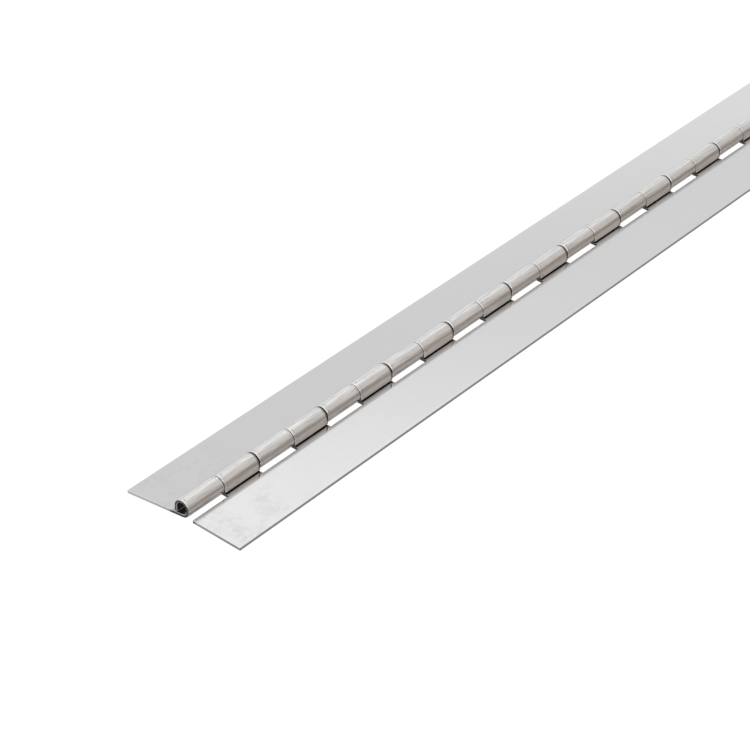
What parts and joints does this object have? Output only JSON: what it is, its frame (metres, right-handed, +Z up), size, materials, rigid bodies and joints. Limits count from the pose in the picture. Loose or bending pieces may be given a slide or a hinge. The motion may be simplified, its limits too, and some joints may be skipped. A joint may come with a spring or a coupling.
{
  "type": "piano hinge",
  "caption": "Undrilled stainless continuous hinge, open a little past flat: two rolled leaves with interleaved knuckles on one long recessed pin.",
  "frame": {"origin": "on the surface that the hinge lies on, under the middle of the pin", "axes": "+X along the pin, from the end where the fixed leaf has the first knuckle to the other end; +Y towards the fixed leaf; +Z up, on the barrel's side of the leaves. The pin's axis is parallel to X at y = 0, z = 3.860 mm."},
  "size_m": [0.3048, 0.0378, 0.0064],
  "materials": {
    "leaf_steel": "smooth bright stainless sheet, faintly smudged",
    "pin_steel": "drawn stainless wire"
  },
  "bodies": {
    "fixed_leaf": {"fixed_leaf": "leaf_steel", "pin": "pin_steel"},
    "moving_leaf": {"moving_leaf": "leaf_steel"}
  },
  "joints": [
    {"name": "leaf_fold", "type": "hinge", "parent": "fixed_leaf", "child": "moving_leaf", "pos_m": [0, 0, 0.00386], "axis": [-1, 0, 0], "range_deg": [-100, 197]}
  ]
}
